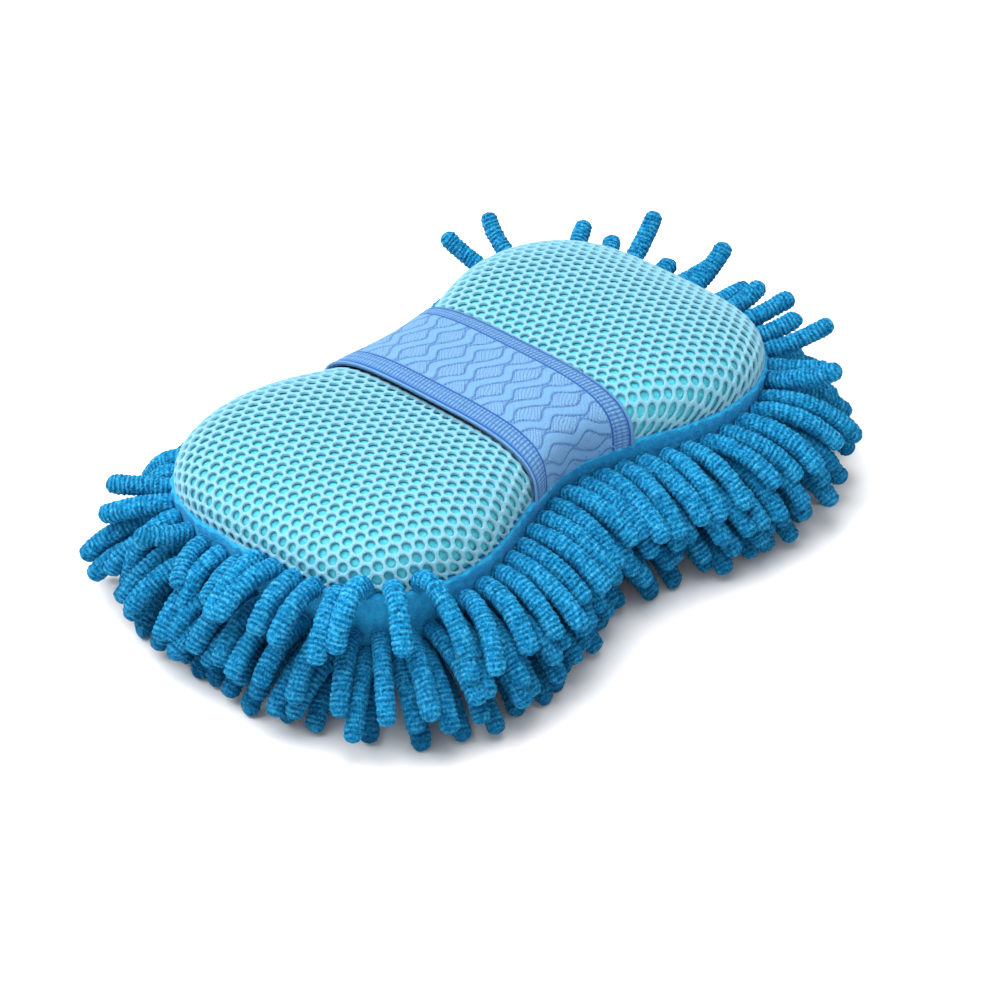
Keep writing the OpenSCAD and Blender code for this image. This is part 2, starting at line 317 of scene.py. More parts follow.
def applied(piece: bpy.types.Object) -> bpy.types.Object:
    """Apply a piece's modifiers to its mesh."""
    bpy.context.view_layer.update()
    shaped = piece.evaluated_get(bpy.context.evaluated_depsgraph_get())
    mesh = bpy.data.meshes.new_from_object(shaped)
    old = piece.data
    piece.modifiers.clear()
    piece.data = mesh
    bpy.data.meshes.remove(old)
    mesh.name = piece.name
    return piece


def walled(piece: bpy.types.Object, thickness: float) -> bpy.types.Object:
    """Give an open piece a wall inwards, in millimetres."""
    wall = piece.modifiers.new("wall", "SOLIDIFY")
    wall.thickness = thickness * MM
    wall.offset = -1.0
    return applied(piece)


def mark(piece: bpy.types.Object, name: str, values: np.ndarray) -> None:
    """Store one number for each point of a piece, for its material to read.

    Args:
        piece: The piece.
        name: The attribute's name.
        values: One value for each point.
    """
    attribute = piece.data.attributes.new(name, "FLOAT", "POINT")
    attribute.data.foreach_set("value", np.asarray(values, np.float32))


# ---- Finishes ---------------------------------------------------------------------------------


class NodeBench:
    """A material's node tree, with short calls to add and join its nodes."""

    def __init__(self, name: str) -> None:
        """Start a material with a principled shader."""
        self.material = bpy.data.materials.new(name)
        self.material.use_nodes = True
        self.tree = self.material.node_tree
        self.shader = self.tree.nodes["Principled BSDF"]

    def add(self, kind: str, **inputs: object) -> bpy.types.Node:
        """Add a node.

        Args:
            kind: The node's type name.
            inputs: Values or sockets by input name, underscores for spaces; `set_` names a property.

        Returns:
            The node.
        """
        node = self.tree.nodes.new(kind)
        for name, value in inputs.items():
            if name.startswith("set_"):
                setattr(node, name[4:], value)
        for name, value in inputs.items():
            if not name.startswith("set_"):
                key = int(name[1:]) if name[0] == "i" and name[1:].isdigit() else name.replace("_", " ")
                self.feed(node.inputs[key], value)
        return node

    def feed(self, socket: bpy.types.NodeSocket, value: object) -> None:
        """Set a socket to a value, or join another socket to it."""
        if isinstance(value, bpy.types.NodeSocket):
            self.tree.links.new(value, socket)
        elif isinstance(value, tuple) and len(value) == 3 and socket.type == "RGBA":
            socket.default_value = (*value, 1.0)
        else:
            socket.default_value = value

    def math(self, operation: str, a: object, b: object = 0.0) -> bpy.types.NodeSocket:
        """Add a math node and return its result."""
        return self.add("ShaderNodeMath", set_operation=operation, i0=a, i1=b).outputs[0]

    def mix(self, share: object, a: object, b: object) -> bpy.types.NodeSocket:
        """Add a colour mix and return its result."""
        return self.add("ShaderNodeMix", set_data_type="RGBA", i0=share, i6=a, i7=b).outputs[2]

    def tinge(
        self, height: object, span: tuple[float, float], share: float, a: object, b: object
    ) -> bpy.types.NodeSocket:
        """Mix b into a where a height rises through its span, by share at most, and return the colour."""
        return self.mix(self.math("MULTIPLY", self.band(height, *span), share), a, b)

    def band(self, value: object, low: float, high: float) -> bpy.types.NodeSocket:
        """Add a clamped ramp from 0 at low to 1 at high and return its result."""
        return self.add("ShaderNodeMapRange", Value=value, From_Min=low, From_Max=high).outputs[0]

    def grain(self, per_metre: float, detail: float = 3.0) -> bpy.types.NodeSocket:
        """Add noise on the piece's own coordinates and return its value."""
        spot = self.place()
        return self.add("ShaderNodeTexNoise", Vector=spot, Scale=per_metre, Detail=detail).outputs["Fac"]

    def cells(self, per_metre: float) -> bpy.types.NodeSocket:
        """Add round cells on the piece's own coordinates and return the distance from their middles."""
        return self.add("ShaderNodeTexVoronoi", Vector=self.place(), Scale=per_metre).outputs["Distance"]

    def place(self) -> bpy.types.NodeSocket:
        """Add a reader of the piece's own coordinates and return it."""
        return self.add("ShaderNodeTexCoord").outputs["Object"]

    def unwrapped(self) -> bpy.types.NodeSocket:
        """Add a reader of the piece's own UV map and return it."""
        return self.add("ShaderNodeUVMap", set_uv_map="UVMap").outputs["UV"]

    def shift(self, operation: str, a: object, b: object) -> bpy.types.NodeSocket:
        """Add a vector math node and return its result."""
        return self.add("ShaderNodeVectorMath", set_operation=operation, i0=a, i1=b).outputs[0]

    def reading(self, name: str) -> bpy.types.NodeSocket:
        """Add a reader of the piece's own attribute and return its value."""
        return self.add("ShaderNodeAttribute", set_attribute_name=name).outputs["Fac"]

    def relief(self, *layers: tuple[object, float]) -> None:
        """Feed the shader's normal with bumps.

        Args:
            layers: Pairs of a height from 0 to 1 and its depth in metres.
        """
        normal = None
        for height, depth in layers:
            bump = self.add("ShaderNodeBump", Height=height, Distance=depth, Strength=1.0)
            if normal is not None:
                self.feed(bump.inputs["Normal"], normal)
            normal = bump.outputs["Normal"]
        self.feed(self.shader.inputs["Normal"], normal)

    def dress(self, **inputs: object) -> bpy.types.Material:
        """Set the shader's own sockets and return the material."""
        for name, value in inputs.items():
            self.feed(self.shader.inputs[name.replace("_", " ")], value)
        return self.material


@dataclass(frozen=True)
class ChenilleFinish:
    """Looped pile on a noodle, with painted shade between its loops and ribs and a painted highlight on
    their crests.
    """

    # Painted shade and painted highlight: the darkest colour fills the hollows between loops and ribs and
    # darkens whole noodles; the palest tops the crests and also makes random flecks.
    shade_and_dark_tone: Colour = tint(0, 54, 100)
    body: Colour = tint(4, 156, 222)
    light: Colour = tint(104, 212, 246)
    sheen: Colour = tint(60, 170, 225)
    loops_around: float = 24.0
    loops_along: float = 30.0
    fuzz_scale: float = 3400.0
    rib_share: float = 0.55
    seed_step: float = 90.0

    def build(self) -> bpy.types.Material:
        """Make the material."""
        bench = NodeBench("chenille_pile")
        crest = bench.reading("crest")
        shade = bench.reading("shade")
        spread = bench.shift("MULTIPLY", bench.unwrapped(), (self.loops_around, self.loops_along, 1.0))
        apart = bench.add("ShaderNodeCombineXYZ", Z=bench.math("MULTIPLY", shade, self.seed_step)).outputs[0]
        place = bench.shift("ADD", spread, apart)
        loops = bench.add("ShaderNodeTexNoise", Vector=place, Scale=1.0, Detail=2.5, Roughness=0.6)
        tuft = bench.band(loops.outputs["Fac"], 0.32, 0.68)
        fuzz = bench.grain(self.fuzz_scale)
        ribs = bench.math("MULTIPLY", crest, self.rib_share)
        height = bench.math("ADD", ribs, bench.math("MULTIPLY", tuft, 1 - self.rib_share))
        # Painted shade: darker towards the darkest colour in the hollows between loops and ribs.
        base = bench.mix(bench.band(height, 0.16, 0.66), self.shade_and_dark_tone, self.body)
        # Painted highlight: paler on the crests of the loops and ribs.
        painted_crest_highlight = bench.tinge(height, (0.6, 0.95), 0.75, base, self.light)
        frosted = bench.tinge(fuzz, (0.5, 0.75), 0.3, painted_crest_highlight, self.light)
        # Each noodle's random tone, plus painted shade on the lower rows, mixed towards the darkest colour.
        varied_and_shaded = bench.mix(bench.math("MULTIPLY", shade, 0.5), frosted, self.shade_and_dark_tone)
        bench.relief((tuft, 0.0007), (fuzz, 0.0003))
        return bench.dress(
            Base_Color=varied_and_shaded, Roughness=0.95, Specular_IOR_Level=0.1,
            Sheen_Weight=0.45, Sheen_Roughness=0.3, Sheen_Tint=self.sheen,
        )


@dataclass(frozen=True)
class NetFinish:
    """Soft bright yarn of the net."""

    yarn: Colour = tint(138, 194, 214)
    shadow: Colour = tint(96, 166, 188)
    fibre_scale: float = 3200.0
    patch_scale: float = 60.0

    def build(self) -> bpy.types.Material:
        """Make the material."""
        bench = NodeBench("net_yarn")
        fibres = bench.grain(self.fibre_scale)
        patches = bench.grain(self.patch_scale, 2.0)
        base = bench.mix(bench.band(fibres, 0.3, 0.7), self.shadow, self.yarn)
        softened = bench.mix(bench.math("MULTIPLY", patches, 0.3), base, self.yarn)
        bench.relief((fibres, 0.00025))
        return bench.dress(
            Base_Color=softened, Roughness=0.7, Specular_IOR_Level=0.3,
            Sheen_Weight=0.3, Sheen_Roughness=0.4,
        )


@dataclass(frozen=True)
class KnitFinish:
    """Fine knit, for the layer behind the net and for the cloth that carries the noodles."""

    name: str
    colour: Colour
    shadow: Colour
    gauge: float
    nap_scale: float = 500.0

    def build(self) -> bpy.types.Material:
        """Make the material."""
        bench = NodeBench(self.name)
        loops = bench.cells(self.gauge)
        nap = bench.grain(self.nap_scale, 4.0)
        base = bench.mix(bench.band(nap, 0.3, 0.7), self.shadow, self.colour)
        bench.relief((nap, 0.0006), (loops, 0.0003))
        return bench.dress(
            Base_Color=base, Roughness=0.9, Specular_IOR_Level=0.15, Sheen_Weight=0.06,
        )


@dataclass(frozen=True)
class WebbingFinish:
    """Woven elastic with its pattern in the weave, and painted shade where the weave sits low, in its lines
    and grooves.
    """

    face: Colour = tint(110, 166, 216)
    # The groove colour is painted shade in the weave's low lines and grooves, and also random fibre
    # mottling.
    groove: Colour = tint(38, 94, 174)
    pale: Colour = tint(158, 202, 236)
    threads_across: int = 74
    threads_along: int = 190
    fibre_scale: float = 2600.0

    def build(self) -> bpy.types.Material:
        """Make the material."""
        bench = NodeBench("elastic_webbing")
        parts = bench.add("ShaderNodeSeparateXYZ", Vector=bench.unwrapped())
        waves = [
            bench.math("SINE", bench.math("MULTIPLY", parts.outputs[axis], 2 * math.pi * threads))
            for axis, threads in enumerate((self.threads_across, self.threads_along))
        ]
        weave = bench.band(bench.math("MULTIPLY", *waves), -1.0, 1.0)
        relief = bench.reading("relief")
        dots = bench.math("MULTIPLY", weave, bench.reading("dots"))
        fibres = bench.grain(self.fibre_scale)
        # Painted shade: the colour darkens towards the groove colour where the weave's relief is low.
        base = bench.mix(bench.band(relief, 0.15, 0.75), self.groove, self.face)
        flecked = bench.mix(bench.math("MULTIPLY", dots, 0.6), base, self.pale)
        mottled = bench.tinge(fibres, (0.5, 0.8), 0.3, flecked, self.groove)
        bench.relief((relief, 0.0004), (weave, 0.0002), (fibres, 0.0002))
        return bench.dress(
            Base_Color=mottled, Roughness=0.8, Specular_IOR_Level=0.2,
            Sheen_Weight=0.08, Sheen_Roughness=0.4,
        )


@dataclass(frozen=True)
class ThreadFinish:
    """Twisted sewing thread."""

    colour: Colour = tint(96, 160, 224)
    shadow: Colour = tint(60, 120, 190)
    twist_scale: float = 3000.0

    def build(self) -> bpy.types.Material:
        """Make the material."""
        bench = NodeBench("sewing_thread")
        twist = bench.grain(self.twist_scale, 2.0)
        bench.relief((twist, 0.0001))
        base = bench.mix(twist, self.colour, self.shadow)
        return bench.dress(Base_Color=base, Roughness=0.5, Specular_IOR_Level=0.4)


@dataclass(frozen=True)
class FoamFinish:
    """Open-cell foam."""

    colour: Colour = tint(120, 200, 220)
    shadow: Colour = tint(60, 140, 165)
    cell_scale: float = 1100.0

    def build(self) -> bpy.types.Material:
        """Make the material."""
        bench = NodeBench("open_cell_foam")
        cells = bench.cells(self.cell_scale)
        bench.relief((cells, 0.0006))
        base = bench.mix(bench.band(cells, 0.1, 0.6), self.shadow, self.colour)
        return bench.dress(Base_Color=base, Roughness=0.95, Specular_IOR_Level=0.1)


# ---- Cover ------------------------------------------------------------------------------------


@dataclass
class NetTop:
    """The top's net face: rows of round holes in a soft knit."""

    shape: PadShape
    pitch: float = 3.7
    hole: float = 2.74
    depth: float = 0.6
    crest: float = 0.22
    tuck: float = 2.5
    lift: float = 0.15
    rounding_loss: float = 0.88

    def flat_net(self, drape: Drape) -> bpy.types.Object:
        """Make the net as a flat sheet of cells with round holes.

        Args:
            drape: Tells how far the cloth reaches in each direction.

        Returns:
            The flat net, in millimetres.
        """
        bm = bmesh.new()
        column = self.pitch * math.sqrt(3) / 2
        far = int(self.shape.length / column)
        wide = int(self.shape.width / self.pitch)
        cells = itertools.product(range(-far, far + 1), range(-wide, wide + 1))
        flat = np.array([(i * column, (j + 0.5 * (i % 2)) * self.pitch) for i, j in cells])
        inside = np.linalg.norm(flat, axis=1) < drape.reach(flat) + self.tuck
        flat_side = Matrix.Rotation(math.radians(30), 4, "Z")
        for x, y in flat[inside]:
            bmesh.ops.create_circle(
                bm, cap_ends=True, segments=6, radius=self.pitch / math.sqrt(3),
                matrix=Matrix.Translation((x, y, 0)) @ flat_side,
            )
        bmesh.ops.remove_doubles(bm, verts=bm.verts, dist=self.pitch * 0.1)
        middles = list(bm.faces)
        yarn = (self.pitch - self.hole) / 2 * self.rounding_loss
        bmesh.ops.inset_individual(bm, faces=middles, thickness=yarn)
        bmesh.ops.delete(bm, geom=middles, context="FACES_ONLY")
        net = linked(freed(bm, "net_face"))
        rounding = net.modifiers.new("rounding", "SUBSURF")
        rounding.levels = 1
        rounding.render_levels = 1
        return applied(net)

    def build(self, drape: Drape) -> bpy.types.Object:
        """Make the net and lay it over the crown.

        Args:
            drape: Lays flat points over the crown.

        Returns:
            The finished net.
        """
        net = self.flat_net(drape)
        bm = bmesh.new()
        bm.from_mesh(net.data)
        bmesh.ops.recalc_face_normals(bm, faces=bm.faces)
        if sum(face.normal.z for face in bm.faces) < 0:
            bmesh.ops.reverse_faces(bm, faces=bm.faces)
        rims = [edge for edge in bm.edges if edge.is_boundary]
        rim_verts = {vert for edge in rims for vert in edge.verts}
        for vert in bm.verts:
            vert.co.z = 0.0 if vert in rim_verts else self.crest
        walls = bmesh.ops.extrude_edge_only(bm, edges=rims)
        for item in walls["geom"]:
            if isinstance(item, bmesh.types.BMVert):
                item.co.z = -self.depth
        points = np.array([vert.co for vert in bm.verts])
        points[:, 2] += self.lift
        for vert, spot in zip(bm.verts, drape.cover(points)):
            vert.co = spot * MM
        for face in bm.faces:
            face.smooth = True
        bm.to_mesh(net.data)
        bm.free()
        net.data.update()
        return net


@dataclass
class Lining:
    """The fine knit layer that shows through the net's holes."""

    shape: PadShape
    drop: float = 0.9
    thickness: float = 0.6
    columns: int = 216
    rows: int = 60

    def build(self) -> bpy.types.Object:
        """Make the layer."""

        def place(across: float, along: float) -> Sequence[float]:
            """Give the point for a share across and a share along."""
            angle = np.array(2 * math.pi * across)
            share = np.array(math.sin(math.pi / 2 * along))
            return self.shape.top(angle, share, self.drop)

        return walled(finished(woven_grid(self.columns, self.rows, place), "net_lining"), self.thickness)


@dataclass
class FoamBlock:
    """The foam core inside the cover."""

    shape: PadShape
    inset: float = 2.2
    columns: int = 144
    rows: int = 64

    def build(self) -> bpy.types.Object:
        """Make the block."""

        def place(across: float, along: float) -> Sequence[float]:
            """Give the point for a share across and a share along."""
            angle = np.array(2 * math.pi * across)
            if along < 0.5:
                share = np.array(math.sin(math.pi * along))
                return self.shape.top(angle, share, self.inset)
            depth = math.sin(math.pi * (along - 0.5))
            x, y = self.shape.outline(angle, self.inset) * self.shape.side_share(depth)
            return x, y, self.shape.seam - depth * (self.shape.seam - self.shape.sole - self.inset)

        return finished(woven_grid(self.columns, self.rows, place), "foam_block")


@dataclass
class BaseCloth:
    """The cloth bowl that carries the noodles, gathered where it meets the seam."""

    shape: PadShape
    lip: float = 1.1
    hem: float = 1.3
    hem_share: float = 0.25
    hem_turn: float = 0.8
    tuck: float = 2.2
    sink: float = 0.6
    strap_lip: float = 2.0
    strap_reach: float = 21.5
    gathers: int = 84
    gather_depth: float = 0.3
    pucker: float = 0.4
    fade: float = 5.0
    columns: int = 900
    rows: int = 44

    def build(self) -> bpy.types.Object:
        """Make the cloth."""

        def place(across: float, along: float) -> Sequence[float]:
            """Give the point for a share across and a share along."""
            turn = 2 * math.pi * across
            angle = np.array(turn)
            wobble = noise.noise(Vector((math.cos(turn) * 9, math.sin(turn) * 9, 0.3)))
            fold = math.sin(self.gathers * turn + 9 * wobble)
            rim = self.shape.outline(angle)
            lip = self.lip + self.strap_lip * math.exp(-((rim[0] / self.strap_reach) ** 8))
            base = self.pucker * wobble - self.sink
            if along < self.hem_share:
                roll = along / self.hem_share
                x, y = self.shape.outline(angle, self.tuck - roll * (self.tuck + lip))
                rise = self.hem * math.sin(math.pi * min(1.0, roll * self.hem_turn)) + base
                return x, y, self.shape.seam + rise
            depth = math.sin(math.pi / 2 * (along - self.hem_share) / (1 - self.hem_share)) ** 1.2
            near = math.exp(-depth * self.fade)
            out = (lip + self.gather_depth * fold) * near
            x, y = self.shape.outline(angle, -out) * self.shape.side_share(depth)
            top = self.hem * math.sin(math.pi * self.hem_turn) + base
            return x, y, self.shape.seam + top * near - depth * (self.shape.seam - self.shape.sole)

        return finished(woven_grid(self.columns, self.rows, place), "gathered_cloth")


# ---- Strap ------------------------------------------------------------------------------------


class WebZone(Enum):
    """Zones across the strap."""

    BEAD = "rolled edge"
    LINE = "line beside a zone"
    LADDER = "ribbed border"
    FIGURE = "patterned middle"


@dataclass
class HandStrap:
    """The elastic strap over the waist, sewn into the seam at both ends."""

    shape: PadShape
    width: float = 40.0
    thickness: float = 1.6
    lift: float = 2.0
    edge_sag: float = 1.4
    taut: float = 0.75
    side_gap: float = 0.4
    border: float = 6.6
    bead: float = 0.9
    rib: float = 1.15
    lane_start: float = 13.9
    lane_width: float = 1.75
    leaf_pitch: float = 7.3
    leaf_wave: float = 1.35
    leaf_waist: float = 1.75
    leaf_length: float = 12.5
    leaf_slant: float = 0.16
    line: float = 0.42
    relief: float = 0.24
    wall_loss: float = 0.4
    end_density: float = 0.92
    edge_line: float = 0.45
    border_line: float = 0.5
    knot: float = 0.62
    columns: int = 130
    rows: int = 370

    def span_point(self, x: float, share: float, out: float) -> tuple[float, float, float]:
        """Place a point of the strap.

        Args:
            x: Distance along the pad.
            share: Share of the half span, negative on the near side.
            out: Height above the strap's underside.

        Returns:
            The point.
        """
        middle = float(self.shape.crown_at(np.array(self.width / 2), 0.0)) + self.lift
        middle -= self.edge_sag * (2 * abs(x) / self.width) ** 6
        half = float(self.shape.half_width(np.array(x)))
        edge = float(self.shape.half_width(np.array(self.width / 2)))
        half += (edge - half) * self.taut * (1 - abs(share) ** 8) + self.side_gap + out
        rise = (middle + out) * float(self.shape.crown_share(np.array(abs(share))))
        return x, share * half, self.shape.seam + rise

    def zone(self, x: float) -> WebZone:
        """Return the zone at distance x from the strap's middle line."""
        edge = self.width / 2 - abs(x)
        if edge < self.bead:
            return WebZone.BEAD
        if edge < self.bead + self.edge_line or self.border - self.border_line < edge < self.border:
            return WebZone.LINE
        return WebZone.LADDER if edge < self.border else WebZone.FIGURE

    def weave_height(self, x: float, run: float) -> tuple[float, float]:
        """Return the relief and the dottedness at a place on the strap.

        Args:
            x: Distance from the strap's middle line.
            run: Distance along the strap.

        Returns:
            The height from 0 to 1 and how dotted the weave is there.
        """
        zone = self.zone(x)
        if zone is WebZone.BEAD:
            turn = (self.width / 2 - abs(x)) / self.bead
            return 1.0 + 0.7 * math.sin(math.pi * min(1.0, turn)), 0.1
        if zone is WebZone.LINE:
            return 0.1, 0.0
        if zone is WebZone.LADDER:
            block = 0.5 + 0.5 * math.cos(2 * math.pi * run / self.rib)
            lane = 0.5 + 0.5 * math.cos(2 * math.pi * (abs(x) - self.lane_start) / self.lane_width)
            return 0.2 + 0.8 * min(1.0, block * 1.5) * min(1.0, 0.3 + lane), 0.25
        return self.figure_height(x, run)

    def figure_height(self, x: float, run: float) -> tuple[float, float]:
        """Return the relief and dottedness in the strap's patterned middle."""
        sloped = run + self.leaf_slant * x + 0.35 * math.sin(0.9 * x)
        chain = round(sloped / self.leaf_pitch)
        aside = sloped - chain * self.leaf_pitch
        turn = 2 * math.pi * x / self.leaf_length + (math.pi if chain % 2 else 0.0)
        half = self.leaf_waist + self.leaf_wave * math.cos(turn)
        beaded = 0.75 + 0.25 * math.sin(2 * math.pi * x / 0.9)
        groove = beaded * math.exp(-(((abs(aside) - half) / self.line) ** 2))
        if abs(aside) > half:
            return 0.75 - 0.75 * groove, 0.45
        bead = math.sin(math.pi * x / self.knot) * math.sin(math.pi * aside / self.knot)
        return 0.72 + 0.34 * bead - 0.7 * groove, 0.8

    def middle_run(self) -> tuple[np.ndarray, np.ndarray]:
        """Return shares of the half span along the strap's middle line, and how far along each is."""
        shares = np.linspace(-1, 1, self.rows + 1)
        shares = np.sign(shares) * np.sin(np.abs(shares) * math.pi / 2) ** self.end_density
        line = np.array([self.span_point(0.0, share, self.thickness) for share in shares])
        return shares, np.concatenate([[0.0], np.cumsum(np.linalg.norm(np.diff(line, axis=0), axis=1))])

    @property
    def flat_length(self) -> float:
        """Return the length of the strap's cut between its sewn ends."""
        return float(self.middle_run()[1][-1])

    def build(self) -> bpy.types.Object:
        """Make the strap."""
        shares, runs = self.middle_run()
        weave: list[tuple[float, float]] = []

        def place(across: float, along: float) -> Sequence[float]:
            """Give the point for a share across and a share along."""
            x = (across - 0.5) * self.width
            run = along * runs[-1]
            weave.append(self.weave_height(x, run))
            out = self.thickness - self.relief * (1.0 - weave[-1][0])
            return self.span_point(x, float(np.interp(run, runs, shares)), out)

        strap = finished(woven_grid(self.columns, self.rows, place, closed=False), "hand_strap")
        middle = strap.data.polygons[len(strap.data.polygons) // 2]
        if middle.normal.z < 0:
            strap.data.flip_normals()
        mark(strap, "relief", np.array([height for height, _ in weave]))
        mark(strap, "dots", np.array([dotted for _, dotted in weave]))
        return walled(strap, self.thickness - self.wall_loss)


# ---- Noodles ----------------------------------------------------------------------------------


@dataclass(frozen=True)
class Root:
    """Where one noodle of the frame starts and ends, in millimetres."""

    start: Vector
    end: Vector

    @property
    def bearing(self) -> float:
        """Return the direction that the noodle points in, in radians."""
        return math.atan2(self.end.y - self.start.y, self.end.x - self.start.x)


def noodles_of(node: str) -> list[Root]:
    """Find the separate noodles of a frame node.

    Args:
        node: The node's name.

    Returns:
        One entry for each noodle, in order round the pad.
    """
    bm = bmesh.new()
    bm.from_mesh(bpy.data.objects[node].data)
    bmesh.ops.remove_doubles(bm, verts=bm.verts, dist=1e-6)
    unseen = set(bm.verts)
    roots = []
    for first in bm.verts:
        if first not in unseen:
            continue
        unseen.remove(first)
        group = [first]
        for vert in group:
            for edge in vert.link_edges:
                other = edge.other_vert(vert)
                if other in unseen:
                    unseen.remove(other)
                    group.append(other)
        points = np.array([vert.co for vert in group]) / MM
        middle = points.mean(axis=0)
        axis = np.linalg.svd(points - middle, full_matrices=False)[2][0]
        along = (points - middle) @ axis
        ends = [Vector(middle + axis * along.min()), Vector(middle + axis * along.max())]
        ends.sort(key=lambda end: -end.z)
        roots.append(Root(ends[0], ends[1]))
    bm.free()
    return sorted(roots, key=lambda root: (round(root.start.y, 1), root.start.x))


def turned(flat: Vector, degrees: float) -> Vector:
    """Turn a level direction about the upright axis."""
    return Matrix.Rotation(math.radians(degrees), 3, "Z") @ flat


class Lay(Enum):
    """How a row of noodles lies."""

    FOUNTAIN = "out of the seam and over the others"
    SKIRT = "out and down to the ground"
    SOLE = "flat under the pad"


class Stance(Enum):
    """How one noodle of a row holds itself."""

    LOLL = "out and over in an arc"
    STAND = "out and up"
    HANG = "close down the side"
    CURL = "up over the seam and down"
    SHORT = "out level and not far"


@dataclass
class NoodleMaker:
    """Makes ribbed chenille tubes along curved lines."""

    radius: float = 2.9
    rib: float = 1.32
    rib_depth: float = 0.15
    lump: float = 0.3
    around: int = 12
    rings_per_rib: float = 3.0
    tip_power: float = 2.4

    def template(self, length: float) -> tuple[bpy.types.Mesh, np.ndarray]:
        """Make the straight tube that every noodle of a row starts from.

        Args:
            length: The noodle's length.

        Returns:
            The mesh, and a row of angle and share along for each of its points.
        """
        rows = int(length / self.rib * self.rings_per_rib)

        def place(across: float, along: float) -> Sequence[float]:
            """Give the point for a share across and a share along."""
            turn = 2 * math.pi * across
            wide = 1.0 if 0 < along < 1 else 0.0
            return wide * math.cos(turn), wide * math.sin(turn), along * 10

        mesh = freed(woven_grid(self.around, rows, place), "noodle_template")
        points = np.empty(len(mesh.vertices) * 3)
        mesh.vertices.foreach_get("co", points)
        points = points.reshape(-1, 3)
        return mesh, np.stack([np.arctan2(points[:, 1], points[:, 0]), points[:, 2] / 10], axis=1)

    def girth(
        self, along: np.ndarray, angle: np.ndarray, length: float, rng: random.Random
    ) -> tuple[np.ndarray, np.ndarray]:
        """Return the radius and the ribs' crest at each point of a noodle.

        Args:
            along: Shares along the noodle.
            angle: Angles round it.
            length: Its length.
            rng: The row's random numbers.

        Returns:
            The radii in millimetres, and the crest from 0 to 1.
        """
        size = self.radius * rng.uniform(0.94, 1.05)
        shift = rng.uniform(0, 1)
        drift = rng.uniform(0, 50)
        far = along * length
        swirl = 0.5 * np.sin(2 * angle + drift) + 0.35 * np.sin(far * 1.7 + drift)
        swirl += 0.3 * np.sin(3 * angle - far * 0.9)
        wave = 0.5 + 0.5 * np.cos(2 * math.pi * (far / self.rib + shift) + swirl * 1.6)
        spots = zip(np.cos(angle) * 1.6, np.sin(angle) * 1.6, far * 0.85 + drift)
        lumps = np.array([noise.noise(Vector(spot)) for spot in spots])
        crest = np.clip(wave * 0.75 + 0.25 + lumps * 0.5, 0, 1)
        radius = size - self.rib_depth * 2 * (1 - wave) + self.lump * lumps
        tip = np.clip((length - far) / size, 0, 1)
        root = np.clip(far / 0.8 + 0.55, 0, 1)
        return radius * np.sqrt(np.maximum(0, 1 - (1 - tip) ** self.tip_power)) * root, crest

    def bend(self, line: np.ndarray, angle: np.ndarray, along: np.ndarray, radius: np.ndarray) -> np.ndarray:
        """Wrap a tube's points round a line.

        Args:
            line: Points along the noodle's middle, evenly spaced.
            angle: Angle of each point round the tube.
            along: Share of each point along the tube.
            radius: Distance of each point from the middle.

        Returns:
            One row of x, y and z for each point.
        """
        tangent = np.gradient(line, axis=0)
        tangent /= np.linalg.norm(tangent, axis=1)[:, None]
        side = np.cross(tangent[0], (0.13, 0.21, 1.0))
        sides = []
        for direction in tangent:
            side = side - direction * (side @ direction)
            side = side / np.linalg.norm(side)
            sides.append(side)
        sides = np.array(sides)
        place = along * (len(line) - 1)
        steps = np.arange(len(line))
        middle = np.stack([np.interp(place, steps, line[:, i]) for i in range(3)], axis=1)
        first = np.stack([np.interp(place, steps, sides[:, i]) for i in range(3)], axis=1)
        ahead = np.stack([np.interp(place, steps, tangent[:, i]) for i in range(3)], axis=1)
        second = np.cross(ahead, first)
        ring = first * np.cos(angle)[:, None] + second * np.sin(angle)[:, None]
        return middle + ring * radius[:, None]


